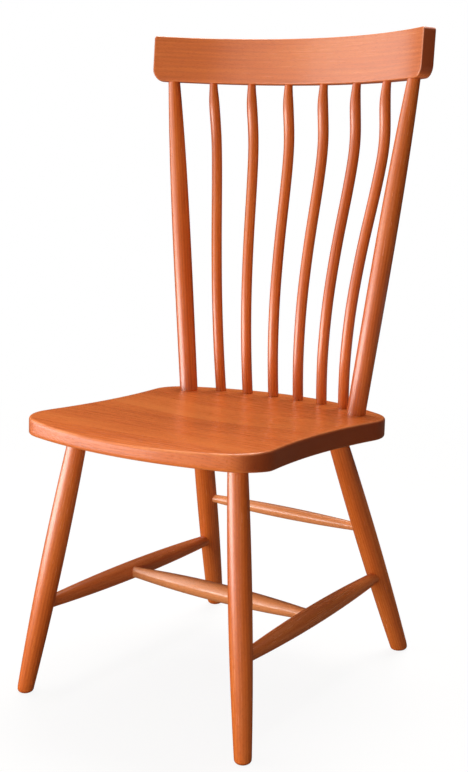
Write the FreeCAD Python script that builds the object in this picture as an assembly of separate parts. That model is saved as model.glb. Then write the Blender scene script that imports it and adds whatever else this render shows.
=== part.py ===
# A high-backed Windsor dining chair in stained wood.
# Millimetres, +Z up, the sitter faces -Y and +X is at the right of someone who looks along +Y.
# The origin is on the floor, halfway from the front of the seat to the heels of the rear feet.
import FreeCAD, Part
import math
import os

from FreeCAD import Vector

# Fits
SOCKET_CLEARANCE = 0.1  # round a tenon, each side
SOCKET_END_GAP = 1.0  # glue room past a tenon's end
PIN_CLEARANCE = 0.05  # round a crest pin, each side
DRILL_MARGIN = 14.0  # how far a drill starts outside the wood
TRIM_SPARE = 4.0  # wood left over where an end is sawn off
TRIM_REACH = 700.0  # half size of the blocks that trim along a plane

# Seat plank, whose top and underside fall together to the back
SEAT_DEPTH = 497.0  # middle of the front edge to middle of the back edge
SEAT_HEIGHT = 424.0  # underside above the floor at the front edge's middle
SEAT_FALL_DEG = 2.9
SEAT_THICKNESS = 31.8
SEAT_FRONT_HALF = 229.0  # half width where the front and side curves would meet
SEAT_FRONT_BOW = 44.5  # how far the front edge bulges
SEAT_BACK_HALF = 230.5
SEAT_BACK_BOW = 79.0
SEAT_WAIST = 19.5  # how far each side is drawn in
SEAT_WAIST_BACK = 215.0  # the narrowest place, behind the front corners
SEAT_FRONT_CORNER = 60.0  # radius in plan
SEAT_BACK_CORNER = 62.0
SEAT_TOP_ROUND = 4.5
SEAT_UNDER_ROUND = 4.5

# Saddle in the top of the seat
SADDLE_DEPTH = 7.0
SADDLE_HALF_WIDTH = 195.0
SADDLE_HALF_LENGTH = 165.0
SADDLE_BEHIND_FRONT = 262.0  # middle of the hollow, from the front edge
FRONT_ROLL_DROP = 9.0  # the top falls this much at the middle of the front edge, and not at the corners
FRONT_ROLL_LENGTH = 60.0
FRONT_UNDER_LIFT = 3.5  # the underside rises this much at the front edge
FRONT_UNDER_LENGTH = 30.0
CARVING_GRID_ACROSS = 11  # grid lines of a carved surface
CARVING_GRID_ALONG = 17
SADDLE_MARGIN = 20.0  # the surface runs this far past the plank
BLANK_SPARE = 6.0  # the plank is this much thicker, above and below, before it is carved

# Front legs
FRONT_LEG_APART = 151.5  # socket to the middle plane, at the underside
FRONT_LEG_INSET = 99.8  # socket behind the front edge
FRONT_LEG_SPLAY = 61.8  # foot outside its socket
FRONT_LEG_RAKE = 75.4  # foot ahead of its socket
FRONT_LEG_TOP_DIA = 30.6
FRONT_LEG_SWELL_DIA = 34.7
FRONT_LEG_SWELL_AT = 170.0
FRONT_FOOT_DIA = 24.6

# Rear legs
REAR_LEG_APART = 136.5
REAR_LEG_INSET = 98.7  # socket ahead of the back edge
REAR_LEG_SPLAY = 60.5
REAR_LEG_RAKE = 128.9  # foot behind its socket
REAR_LEG_TOP_DIA = 31.8
REAR_LEG_SWELL_DIA = 36.1
REAR_LEG_SWELL_AT = 275.0
REAR_FOOT_DIA = 27.8

# All legs
LEG_NECK = 12.0  # straight length below the seat
LEG_HOUSING = 8.0  # full leg let into the seat
LEG_TENON_DIA = 22.0
LEG_TENON_DEPTH = 25.0
FOOT_TRIM = 12.0  # turned over-long, then sawn off level
FOOT_ROUND = 6.0
HEEL_ROUNDED_OFF = 0.6  # what the rounding takes off the rear heels' reach
LEG_WEDGE_LENGTH = 15.0
WEDGE_THIN = 0.8
WEDGE_THICK = 3.2

# Side stretchers, front leg to rear leg
SIDE_STRETCHER_FRONT_HEIGHT = 144.1
SIDE_STRETCHER_REAR_HEIGHT = 141.9
SIDE_STRETCHER_DIA = 30.4
SIDE_STRETCHER_TENON_DIA = 20.0

# Centre stretcher, side stretcher to side stretcher
CENTRE_STRETCHER_BACK = 207.0  # behind the front leg, along the side stretcher
CENTRE_STRETCHER_DIA = 30.4
CENTRE_STRETCHER_TENON_DIA = 18.5

# Rear stretcher, between the rear legs
REAR_STRETCHER_HEIGHT = 230.7
REAR_STRETCHER_DIA = 21.2
REAR_STRETCHER_TENON_DIA = 14.5

STRETCHER_NECK = 4.0  # straight length outside each socket
STRETCHER_TENON_PAST = 4.0  # tenon's end past the middle of what holds it

# Crest rail, one bent board, hollow to the sitter
CREST_ABOVE_SEAT = 526.0  # lower front edge above the seat's top, at the spindle row
CREST_BEHIND_SPINDLES = 45.7  # lower front edge behind the spindle row, at the middle
CREST_LEAN_DEG = 6.0
CREST_RADIUS = 465.4  # front face
CREST_HALF_DEG = 33.6
CREST_HEIGHT = 75.0
CREST_THICKNESS = 21.8
CREST_LOWER_CORNER = 19.0
CREST_UPPER_CORNER = 5.0
CREST_EDGE_ROUND = 1.8

# Back posts
POST_APART = 168.3  # socket to the middle plane, at the top of the seat
POST_INSET = 87.5  # socket ahead of the back edge
POST_CREST_DEG = 29.16  # place on the crest's arc
POST_BASE_DIA = 31.0
POST_SWELL_DIA = 31.6
POST_SWELL_AT = 245.0
POST_TAPER_DIA = 28.6
POST_TAPER_AT = 398.0
POST_TOP_DIA = 19.8
POST_HOUSING = 5.0
POST_NECK = 6.0
POST_TENON_DIA = 22.0
POST_TOP_TENON_DIA = 12.0
POST_TOP_TENON_LENGTH = 38.0
POST_WEDGE_LENGTH = 24.0

# Spindles
SPINDLE_COUNT = 6
SPINDLE_INSET = 35.0  # row's middle ahead of the back edge
SPINDLE_ROW_RADIUS = 461.0
SPINDLE_STEP_DEG = 6.25  # along the row on the seat
SPINDLE_CREST_STEP_DEG = 8.33  # along the crest
SPINDLE_DIA = 18.0
SPINDLE_NECK_DIA = 13.8
SPINDLE_NECK_LENGTH = 34.0
SPINDLE_SEAT_DEPTH = 20.0
SPINDLE_CREST_DEPTH = 24.0
SPINDLE_STUB = 5.0  # straight length outside each socket
SPINDLE_FOOT_LEAN_DEG = 9.0  # forward of its straight line, where it leaves the seat
SPINDLE_BOW_FORWARD = 11.7
SPINDLE_BOW_FORWARD_AT = 0.24  # share of the way up
SPINDLE_BOW_CROSSES_AT = 0.58
SPINDLE_BOW_BACK = 9.2
SPINDLE_BOW_BACK_AT = 0.86
SPINDLE_BODY_SECTIONS = 10
SPINDLE_NECK_SECTIONS = 4

# Crest pins, from behind through the posts' top tenons
CREST_PIN_DIA = 5.0
CREST_PIN_UP = 17.0  # above the post's shoulder
CREST_PIN_FRONT_WALL = 4.5

TOUCH = 0.5  # points nearer than this are taken as one

SIDES = {"left": -1, "right": 1}
X_AXIS = Vector(1, 0, 0)
Y_AXIS = Vector(0, 1, 0)
Z_AXIS = Vector(0, 0, 1)

# Places that follow from the sizes
heel_reach = REAR_FOOT_DIA / 2 - HEEL_ROUNDED_OFF
footprint_depth = SEAT_DEPTH - REAR_LEG_INSET + REAR_LEG_RAKE + heel_reach
seat_front = -footprint_depth / 2
seat_back = seat_front + SEAT_DEPTH
fall = math.tan(math.radians(SEAT_FALL_DEG))
upright_thickness = SEAT_THICKNESS / math.cos(math.radians(SEAT_FALL_DEG))
seat_place = FreeCAD.Placement(Vector(0, seat_front, SEAT_HEIGHT), FreeCAD.Rotation(X_AXIS, -SEAT_FALL_DEG))
spindle_row = seat_back - SPINDLE_INSET


def under_seat(x, y):
    """The point of the seat's underside straight above or below x, y."""
    return Vector(x, y, SEAT_HEIGHT - fall * (y - seat_front))


def on_seat(x, y):
    """The point of the seat's unhollowed top straight above or below x, y."""
    return under_seat(x, y) + Vector(0, 0, upright_thickness)


crest_origin = on_seat(0, spindle_row) + Vector(0, CREST_BEHIND_SPINDLES, CREST_ABOVE_SEAT)
crest_place = FreeCAD.Placement(crest_origin, FreeCAD.Rotation(X_AXIS, -CREST_LEAN_DEG))


def on_arc(radius, degrees):
    """A point of a circle about the origin, degrees round from straight back."""
    angle = math.radians(degrees)
    return Vector(radius * math.sin(angle), radius * math.cos(angle), 0)


def crest_point(degrees, behind, up):
    """A point of the crest: degrees round its arc, behind its front face, up from its lower edge."""
    local = on_arc(CREST_RADIUS + behind, degrees) - Vector(0, CREST_RADIUS, -up)
    return crest_place.multVec(local)


def at_height(start, end, height):
    """The point of the line from start to end at this height above the floor."""
    return start + (end - start) * ((height - start.z) / (end.z - start.z))


def set_on_axis(shape, start, direction):
    """Puts a shape made along +Z at start, along the direction, its local X kept near the chair's X."""
    turn = FreeCAD.Rotation(X_AXIS, Y_AXIS, direction, "ZXY")
    placed = shape.copy()
    placed.Placement = FreeCAD.Placement(start, turn).multiply(shape.Placement)
    return placed


def cylinder(diameter, low, high):
    """A round bar along Z between two heights."""
    return Part.makeCylinder(diameter / 2, high - low, Vector(0, 0, low))


def socket(diameter, low, high):
    """The drill for a tenon of this diameter, between two heights."""
    return cylinder(diameter + 2 * SOCKET_CLEARANCE, low, high)


def turned(stations, below=(), above=()):
    """A turned bar along Z. Stations are (height, diameter); a smooth curve joins the middle ones,
    and straight lines join those below and above it."""
    curve = Part.BSplineCurve()
    curve.interpolate([Vector(diameter / 2, 0, height) for height, diameter in stations])
    low = [Vector(diameter / 2, 0, height) for height, diameter in below] + [curve.StartPoint]
    high = [curve.EndPoint] + [Vector(diameter / 2, 0, height) for height, diameter in above]
    low.insert(0, Vector(0, 0, low[0].z))
    high.append(Vector(0, 0, high[-1].z))
    edges = [Part.makeLine(a, b) for a, b in zip(low, low[1:])]
    edges.append(curve.toShape())
    edges += [Part.makeLine(a, b) for a, b in zip(high, high[1:])]
    edges.append(Part.makeLine(high[-1], low[0]))
    return Part.Face(Part.Wire(edges)).revolve(Vector(0, 0, 0), Z_AXIS, 360)


def trimmed(shape, place, upper):
    """The shape without what lies above, or below, the XY plane of a placement."""
    low = 0 if upper else -TRIM_REACH
    corner = Vector(-TRIM_REACH, -TRIM_REACH, low)
    block = Part.makeBox(2 * TRIM_REACH, 2 * TRIM_REACH, TRIM_REACH, corner)
    block.Placement = place
    return shape.cut(block).Solids[0]


def wedge_block(width, length, spare=0.0):
    """A wedge along Z, thin at 0 and thick at its length, carried on with the same taper into the spare."""
    thin = WEDGE_THIN / 2
    end = length + spare
    thick = thin + (WEDGE_THICK / 2 - thin) * end / length
    corners = [Vector(-thin, 0, 0), Vector(thin, 0, 0), Vector(thick, 0, end), Vector(-thick, 0, end)]
    face = Part.Face(Part.makePolygon(corners + corners[:1]))
    face.translate(Vector(0, -width / 2, 0))
    return face.extrude(Vector(0, width, 0))


def seat_edge(half, corner_y, middle_y):
    """The bowed front or back edge of the plank's outline."""
    arc = Part.Arc(Vector(half, corner_y, 0), Vector(0, middle_y, 0), Vector(-half, corner_y, 0))
    return arc.toShape()


def seat_side(side):
    """One waisted side of the outline."""
    front = Vector(side * SEAT_FRONT_HALF, SEAT_FRONT_BOW, 0)
    back = Vector(side * SEAT_BACK_HALF, SEAT_DEPTH - SEAT_BACK_BOW, 0)
    run = (back - front).normalize()
    middle = front + run * SEAT_WAIST_BACK - Vector(side * SEAT_WAIST, 0, 0)
    curve = Part.BSplineCurve()
    curve.interpolate([front, middle, back])
    return curve.toShape()


def corner_edges(block, half, y):
    """The block's two upright edges at plus and minus half, y."""
    corners = [(half, y), (-half, y)]
    found = []
    for edge in block.Edges:
        middle = edge.CenterOfMass
        upright = abs(edge.Vertexes[0].X - edge.Vertexes[-1].X) < TOUCH
        if upright and any(math.hypot(middle.x - cx, middle.y - cy) < TOUCH for cx, cy in corners):
            found.append(edge)
    return found


def seat_blank():
    """The plank in its own frame, z = 0 at the underside and y = 0 at the front, thicker than it will be."""
    back_corner = SEAT_DEPTH - SEAT_BACK_BOW
    edges = [
        seat_edge(SEAT_FRONT_HALF, SEAT_FRONT_BOW, 0),
        seat_side(-1),
        seat_edge(SEAT_BACK_HALF, back_corner, SEAT_DEPTH),
        seat_side(1),
    ]
    face = Part.Face(Part.Wire(Part.__sortEdges__(edges)))
    face.translate(Vector(0, 0, -BLANK_SPARE))
    block = face.extrude(Vector(0, 0, SEAT_THICKNESS + 2 * BLANK_SPARE))
    block = block.makeFillet(SEAT_FRONT_CORNER, corner_edges(block, SEAT_FRONT_HALF, SEAT_FRONT_BOW))
    return block.makeFillet(SEAT_BACK_CORNER, corner_edges(block, SEAT_BACK_HALF, back_corner))


def front_edge_y(x):
    """How far the front edge's bow has come back at x."""
    return SEAT_FRONT_BOW * (x / SEAT_FRONT_HALF) ** 2


def front_share(x, y, length):
    """1 at the front edge, easing to 0 at this length behind it."""
    return max(0.0, 1 - (y - front_edge_y(x)) / length) ** 2


def top_height(x, y):
    """Height of the finished top above the underside."""
    reach = (x / SADDLE_HALF_WIDTH) ** 2 + ((y - SADDLE_BEHIND_FRONT) / SADDLE_HALF_LENGTH) ** 2
    hollow = SADDLE_DEPTH * max(0.0, 1 - reach) ** 2
    roll = FRONT_ROLL_DROP * front_share(x, y, FRONT_ROLL_LENGTH) * max(0.0, 1 - (x / SEAT_FRONT_HALF) ** 2)
    return SEAT_THICKNESS - hollow - roll


def under_height(x, y):
    """Height of the finished underside above the flat one."""
    return FRONT_UNDER_LIFT * front_share(x, y, FRONT_UNDER_LENGTH)


def carving(height, low, high, depth):
    """What carving takes off: a block between low and high behind the front edge's curve, whose lower or
    upper face follows the height function, and which reaches this depth up, or down if negative."""
    half = SEAT_BACK_HALF + SADDLE_MARGIN
    rows = []
    for i in range(CARVING_GRID_ACROSS):
        x = half * (2 * i / (CARVING_GRID_ACROSS - 1) - 1)
        step = (high - low) / (CARVING_GRID_ALONG - 1)
        ys = [front_edge_y(x) + low + step * j for j in range(CARVING_GRID_ALONG)]
        rows.append([Vector(x, y, height(x, y)) for y in ys])
    surface = Part.BSplineSurface()
    surface.interpolate(rows)
    return surface.toShape().extrude(Vector(0, 0, depth))


def rim_edges(block, top):
    """The edges round the plank's top, or round its underside."""
    half = SEAT_THICKNESS / 2
    if top:
        return [edge for edge in block.Edges if edge.BoundBox.ZMin > half]
    return [edge for edge in block.Edges if edge.BoundBox.ZMax < half]


def make_seat(drills):
    """The saddled plank with its rounded edges and every socket."""
    reach = SEAT_DEPTH + SADDLE_MARGIN
    plank = seat_blank()
    plank = plank.cut(carving(top_height, -SADDLE_MARGIN, reach, SEAT_THICKNESS)).Solids[0]
    plank = plank.cut(carving(under_height, -SADDLE_MARGIN, reach, -SEAT_THICKNESS)).Solids[0]
    plank = plank.makeFillet(SEAT_UNDER_ROUND, rim_edges(plank, False))
    plank = plank.makeFillet(SEAT_TOP_ROUND, rim_edges(plank, True))
    plank.Placement = seat_place
    return plank.cut(drills).Solids[0]


# Legs. Each row has its own sizes; a leg is made along Z from its foot.
class LegRow:
    def __init__(self, apart, y, splay, rake, top, swell, swell_at, foot):
        self.apart = apart
        self.y = y
        self.splay = splay
        self.rake = rake
        self.top = top
        self.swell = swell
        self.swell_at = swell_at
        self.foot = foot

    def line(self, side):
        """The leg's foot on the floor, and where its axis meets the seat's underside."""
        top = under_seat(side * self.apart, self.y)
        return Vector(side * (self.apart + self.splay), self.y + self.rake, 0), top


FRONT_LEGS = LegRow(
    FRONT_LEG_APART,
    seat_front + FRONT_LEG_INSET,
    FRONT_LEG_SPLAY,
    -FRONT_LEG_RAKE,
    FRONT_LEG_TOP_DIA,
    FRONT_LEG_SWELL_DIA,
    FRONT_LEG_SWELL_AT,
    FRONT_FOOT_DIA,
)
REAR_LEGS = LegRow(
    REAR_LEG_APART,
    seat_back - REAR_LEG_INSET,
    REAR_LEG_SPLAY,
    REAR_LEG_RAKE,
    REAR_LEG_TOP_DIA,
    REAR_LEG_SWELL_DIA,
    REAR_LEG_SWELL_AT,
    REAR_FOOT_DIA,
)


def make_leg(row, side, drills):
    """One leg: turned, sawn level and rounded at the floor, its tenon kerfed and its sockets drilled."""
    foot, top = row.line(side)
    length = (top - foot).Length
    shoulder = length + LEG_HOUSING
    end = length + LEG_TENON_DEPTH
    bar = turned(
        [(-FOOT_TRIM, row.foot), (row.swell_at, row.swell), (length - LEG_NECK, row.top)],
        above=[(shoulder, row.top), (shoulder, LEG_TENON_DIA), (end, LEG_TENON_DIA)],
    )
    leg = trimmed(set_on_axis(bar, foot, top - foot), FreeCAD.Placement(), False)
    sole = [edge for edge in leg.Edges if edge.BoundBox.ZMax < TOUCH]
    leg = leg.makeFillet(FOOT_ROUND, sole)
    return leg.cut(drills + [leg_kerf(row, side)]).Solids[0]


def leg_kerf(row, side):
    """The saw kerf in a leg's tenon, as a block across the whole tenon."""
    foot, top = row.line(side)
    start = (top - foot).Length + LEG_TENON_DEPTH - LEG_WEDGE_LENGTH
    block = wedge_block(LEG_TENON_DIA + TRIM_SPARE, LEG_WEDGE_LENGTH)
    block.translate(Vector(0, 0, start))
    return set_on_axis(block, foot, top - foot)


def make_leg_wedge(row, side):
    """The wedge that fills a leg's kerf."""
    foot, top = row.line(side)
    length = (top - foot).Length
    tenon = set_on_axis(cylinder(LEG_TENON_DIA, length, length + LEG_TENON_DEPTH), foot, top - foot)
    return leg_kerf(row, side).common(tenon).Solids[0]


def leg_socket(row, side):
    """The stepped socket in the seat's underside."""
    foot, top = row.line(side)
    housing = socket(row.top, -DRILL_MARGIN, LEG_HOUSING)
    deep = socket(LEG_TENON_DIA, 0, LEG_TENON_DEPTH + SOCKET_END_GAP)
    return [set_on_axis(drill, top, top - foot) for drill in (housing, deep)]


# Stretchers
def side_stretcher_line(side):
    front = at_height(*FRONT_LEGS.line(side), SIDE_STRETCHER_FRONT_HEIGHT)
    rear = at_height(*REAR_LEGS.line(side), SIDE_STRETCHER_REAR_HEIGHT)
    return front, rear


def centre_stretcher_end(side):
    front, rear = side_stretcher_line(side)
    return front + (rear - front).normalize() * CENTRE_STRETCHER_BACK


def rear_stretcher_end(side):
    return at_height(*REAR_LEGS.line(side), REAR_STRETCHER_HEIGHT)


def make_stretcher(start, end, diameter, tenon, start_holder, end_holder):
    """A stretcher between two axes, with tenons a little past them and a swell outside the holders."""
    length = (end - start).Length
    first = start_holder / 2 + STRETCHER_NECK
    last = length - end_holder / 2 - STRETCHER_NECK
    bar = turned(
        [(first, tenon), ((first + last) / 2, diameter), (last, tenon)],
        below=[(-STRETCHER_TENON_PAST, tenon)],
        above=[(length + STRETCHER_TENON_PAST, tenon)],
    )
    return set_on_axis(bar, start, end - start)


def stretcher_socket(start, end, tenon, holder):
    """The blind socket at start for a stretcher that runs to end."""
    drill = socket(tenon, -STRETCHER_TENON_PAST - SOCKET_END_GAP, holder / 2 + DRILL_MARGIN)
    return set_on_axis(drill, start, end - start)


def make_side_stretcher(side):
    front, rear = side_stretcher_line(side)
    bar = make_stretcher(
        front, rear, SIDE_STRETCHER_DIA, SIDE_STRETCHER_TENON_DIA, FRONT_LEG_SWELL_DIA, REAR_LEG_SWELL_DIA
    )
    here = centre_stretcher_end(side)
    there = centre_stretcher_end(-side)
    return bar.cut(stretcher_socket(here, there, CENTRE_STRETCHER_TENON_DIA, SIDE_STRETCHER_DIA)).Solids[0]


def front_leg_drills(side):
    front, rear = side_stretcher_line(side)
    return [stretcher_socket(front, rear, SIDE_STRETCHER_TENON_DIA, FRONT_LEG_SWELL_DIA)]


def rear_leg_drills(side):
    front, rear = side_stretcher_line(side)
    here = rear_stretcher_end(side)
    there = rear_stretcher_end(-side)
    return [
        stretcher_socket(rear, front, SIDE_STRETCHER_TENON_DIA, REAR_LEG_SWELL_DIA),
        stretcher_socket(here, there, REAR_STRETCHER_TENON_DIA, REAR_LEG_SWELL_DIA),
    ]


# Crest rail
def crest_blank():
    """The bent board in its own frame, square-edged but with its end corners rounded."""
    inner = CREST_RADIUS
    outer = CREST_RADIUS + CREST_THICKNESS
    edges = [
        Part.Arc(*[on_arc(inner, degrees) for degrees in (-CREST_HALF_DEG, 0, CREST_HALF_DEG)]).toShape(),
        Part.makeLine(on_arc(inner, CREST_HALF_DEG), on_arc(outer, CREST_HALF_DEG)),
        Part.Arc(*[on_arc(outer, degrees) for degrees in (CREST_HALF_DEG, 0, -CREST_HALF_DEG)]).toShape(),
        Part.makeLine(on_arc(outer, -CREST_HALF_DEG), on_arc(inner, -CREST_HALF_DEG)),
    ]
    board = Part.Face(Part.Wire(edges)).extrude(Vector(0, 0, CREST_HEIGHT))
    board = board.makeFillet(CREST_LOWER_CORNER, end_corner_edges(board, 0))
    board = board.makeFillet(CREST_UPPER_CORNER, end_corner_edges(board, CREST_HEIGHT))
    board.translate(Vector(0, -CREST_RADIUS, 0))
    return board


def end_corner_edges(board, height):
    """The two short edges through the board's thickness at this height."""
    found = []
    for edge in board.Edges:
        level = abs(edge.BoundBox.ZMin - height) < TOUCH and abs(edge.BoundBox.ZMax - height) < TOUCH
        if level and abs(edge.Length - CREST_THICKNESS) < TOUCH:
            found.append(edge)
    return found


def face_edges(board):
    """Every edge that bounds the board's front or back face."""
    centre = Vector(0, -CREST_RADIUS, 0)
    found = []
    for edge in board.Edges:
        reaches = [math.hypot(v.X - centre.x, v.Y - centre.y) for v in edge.Vertexes]
        on_front = all(abs(reach - CREST_RADIUS) < TOUCH for reach in reaches)
        on_back = all(abs(reach - CREST_RADIUS - CREST_THICKNESS) < TOUCH for reach in reaches)
        if on_front or on_back:
            found.append(edge)
    return found


def make_crest(drills):
    """The crest rail with softened edges and its sockets."""
    board = crest_blank()
    board = board.makeFillet(CREST_EDGE_ROUND, face_edges(board))
    board.Placement = crest_place.multiply(board.Placement)
    return board.cut(drills).Solids[0]


# Back posts
def post_line(side):
    """Where a post's axis leaves the seat's top, and where it meets the crest."""
    base = on_seat(side * POST_APART, seat_back - POST_INSET)
    return base, crest_point(side * POST_CREST_DEG, CREST_THICKNESS / 2, 0)


def post_foot(side):
    """Where a post's axis comes out of the seat's underside."""
    base, top = post_line(side)
    normal = seat_place.Rotation.multVec(Z_AXIS)
    axis = (top - base).normalize()
    return base - axis * (SEAT_THICKNESS / axis.dot(normal))


def make_post(side, drills):
    """One post, sawn flush below the seat and shouldered to the crest."""
    base, top = post_line(side)
    length = (top - base).Length
    through = (base - post_foot(side)).Length + TRIM_SPARE
    bar = turned(
        [
            (POST_NECK, POST_BASE_DIA),
            (POST_SWELL_AT, POST_SWELL_DIA),
            (POST_TAPER_AT, POST_TAPER_DIA),
            (length + TRIM_SPARE, POST_TOP_DIA),
        ],
        below=[(-through, POST_TENON_DIA), (-POST_HOUSING, POST_TENON_DIA), (-POST_HOUSING, POST_BASE_DIA)],
    )
    bar = trimmed(set_on_axis(bar, base, top - base), seat_place, False)
    bar = trimmed(bar, crest_place, True)
    tenon = cylinder(POST_TOP_TENON_DIA, -POST_NECK, POST_TOP_TENON_LENGTH)
    bar = bar.fuse(set_on_axis(tenon, top, top - base)).removeSplitter()
    return bar.cut(drills + [post_kerf(side)]).Solids[0]


def post_sockets(side):
    """The stepped hole through the seat for a post."""
    base, top = post_line(side)
    through = (base - post_foot(side)).Length + DRILL_MARGIN
    housing = socket(POST_BASE_DIA, -POST_HOUSING, DRILL_MARGIN)
    deep = socket(POST_TENON_DIA, -through, 0)
    return [set_on_axis(drill, base, top - base) for drill in (housing, deep)]


def post_crest_socket(side):
    base, top = post_line(side)
    drill = socket(POST_TOP_TENON_DIA, -DRILL_MARGIN, POST_TOP_TENON_LENGTH + SOCKET_END_GAP)
    return set_on_axis(drill, top, top - base)


def post_kerf(side):
    """The saw kerf in the lower end of a post."""
    base, top = post_line(side)
    foot = post_foot(side)
    axis = (top - base).normalize()
    block = wedge_block(POST_TENON_DIA + TRIM_SPARE, POST_WEDGE_LENGTH, TRIM_SPARE)
    return set_on_axis(block, foot + axis * POST_WEDGE_LENGTH, -axis)


def make_post_wedge(side):
    """The wedge driven into a post from below and sawn flush."""
    base, top = post_line(side)
    tenon = set_on_axis(cylinder(POST_TENON_DIA, -SEAT_THICKNESS - DRILL_MARGIN, 0), base, top - base)
    return trimmed(post_kerf(side).common(tenon), seat_place, False)


# Crest pins
def pin_line(side):
    """The middle of a pin in its post's tenon, and the way it points, out of the back of the crest."""
    base, top = post_line(side)
    middle = top + (top - base).normalize() * CREST_PIN_UP
    local = crest_place.inverse().multVec(middle) + Vector(0, CREST_RADIUS, 0)
    outward = crest_place.Rotation.multVec(Vector(local.x, local.y, 0).normalize())
    inward_reach = math.hypot(local.x, local.y) - CREST_RADIUS - CREST_PIN_FRONT_WALL
    return middle, outward, inward_reach


def crest_pin_bar(side, diameter, reach_past):
    middle, outward, inward = pin_line(side)
    bar = cylinder(diameter, -inward - reach_past, CREST_THICKNESS)
    return set_on_axis(bar, middle, outward)


def make_crest_pin(side):
    """A peg sawn flush with the back of the crest."""
    board = crest_blank()
    board.Placement = crest_place.multiply(board.Placement)
    return crest_pin_bar(side, CREST_PIN_DIA, 0).common(board).Solids[0]


def crest_pin_drill(side):
    return crest_pin_bar(side, CREST_PIN_DIA + 2 * PIN_CLEARANCE, SOCKET_END_GAP)


# Spindles
class Spindle:
    """The line of one bent spindle, counted from the left."""

    def __init__(self, index):
        place = index - (SPINDLE_COUNT - 1) / 2
        row = on_arc(SPINDLE_ROW_RADIUS, place * SPINDLE_STEP_DEG) - Vector(0, SPINDLE_ROW_RADIUS, 0)
        degrees = place * SPINDLE_CREST_STEP_DEG
        self.base = on_seat(row.x, spindle_row + row.y)
        self.top = crest_point(degrees, CREST_THICKNESS / 2, 0)
        rise = (self.top - self.base).normalize()
        radial = crest_place.Rotation.multVec(on_arc(1, degrees))
        self.back = (radial - rise * radial.dot(rise)).normalize()
        lean = math.radians(SPINDLE_FOOT_LEAN_DEG)
        self.leaves_seat = rise * math.cos(lean) - self.back * math.sin(lean)
        self.enters_crest = (rise - radial * radial.dot(rise)).normalize()

    def bowed(self, share, back):
        """A point this share of the way up, bent back by this much."""
        return self.base + (self.top - self.base) * share + self.back * back

    def path(self):
        """The bent stretch of the middle line, between the straight stubs."""
        points = [
            self.base + self.leaves_seat * SPINDLE_STUB,
            self.bowed(SPINDLE_BOW_FORWARD_AT, -SPINDLE_BOW_FORWARD),
            self.bowed(SPINDLE_BOW_CROSSES_AT, 0),
            self.bowed(SPINDLE_BOW_BACK_AT, SPINDLE_BOW_BACK),
            self.top - self.enters_crest * SPINDLE_STUB,
        ]
        curve = Part.BSplineCurve()
        curve.interpolate(Points=points, InitialTangent=self.leaves_seat, FinalTangent=self.enters_crest)
        return curve


def spindle_diameter(to_crest):
    """Full size along the body, easing down to the neck as the crest comes near."""
    ease = math.sin(math.pi / 2 * min(1.0, to_crest / SPINDLE_NECK_LENGTH))
    return SPINDLE_NECK_DIA + (SPINDLE_DIA - SPINDLE_NECK_DIA) * ease


def make_spindle(index):
    """One spindle: a loft of circles square to its path, with a straight tenon at each end."""
    line = Spindle(index)
    path = line.path()
    length = path.length()
    body = length - SPINDLE_NECK_LENGTH
    stops = [body * i / SPINDLE_BODY_SECTIONS for i in range(SPINDLE_BODY_SECTIONS + 1)]
    neck_step = SPINDLE_NECK_LENGTH / SPINDLE_NECK_SECTIONS
    stops += [body + neck_step * (i + 1) for i in range(SPINDLE_NECK_SECTIONS)]
    rings = []
    for stop in stops:
        at = path.parameterAtDistance(stop, path.FirstParameter)
        ring = Part.Wire(Part.makeCircle(spindle_diameter(length - stop) / 2))
        rings.append(set_on_axis(ring, path.value(at), path.tangent(at)[0]))
    bent = Part.makeLoft(rings, True, False)
    lower = cylinder(SPINDLE_DIA, -SPINDLE_SEAT_DEPTH, SPINDLE_STUB)
    upper = cylinder(SPINDLE_NECK_DIA, -SPINDLE_STUB, SPINDLE_CREST_DEPTH)
    lower = set_on_axis(lower, line.base, line.leaves_seat)
    upper = set_on_axis(upper, line.top, line.enters_crest)
    return bent.multiFuse([lower, upper]).Solids[0]


def spindle_seat_socket(index):
    line = Spindle(index)
    drill = socket(SPINDLE_DIA, -SPINDLE_SEAT_DEPTH - SOCKET_END_GAP, DRILL_MARGIN)
    return set_on_axis(drill, line.base, line.leaves_seat)


def spindle_crest_socket(index):
    line = Spindle(index)
    drill = socket(SPINDLE_NECK_DIA, -DRILL_MARGIN, SPINDLE_CREST_DEPTH + SOCKET_END_GAP)
    return set_on_axis(drill, line.top, line.enters_crest)


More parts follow.
